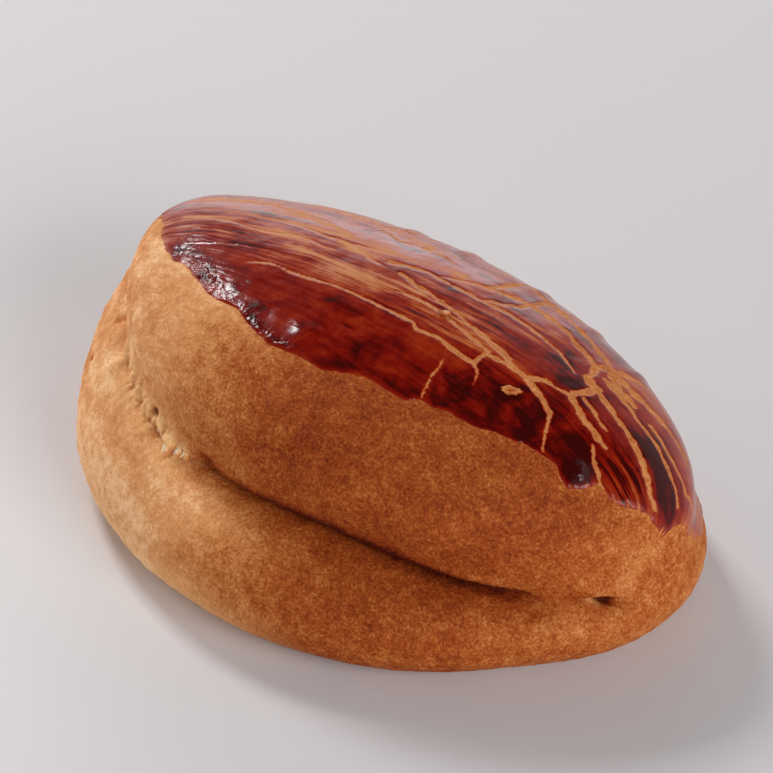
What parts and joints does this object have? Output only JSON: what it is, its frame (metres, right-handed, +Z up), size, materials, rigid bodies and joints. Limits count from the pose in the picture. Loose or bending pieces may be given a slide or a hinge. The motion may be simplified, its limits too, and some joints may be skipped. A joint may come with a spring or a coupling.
{
  "type": "cheese pogaca",
  "caption": "Soft folded cheese pogaca: a baked dough bun with a domed, brown-glazed upper lobe resting on a thicker lower lobe and a seam along one side.",
  "frame": {"origin": "middle of the flat base, on the table", "axes": "+Z up, +X along the bun towards its thin end, -Y towards the seam side"},
  "size_m": [0.1252, 0.087, 0.046],
  "materials": {
    "crust": "baked golden crust with a glossy brown egg glaze brushed over the top",
    "crumb": "pale torn dough"
  },
  "bodies": {
    "root": {"bun": "crust"}
  },
  "joints": []
}
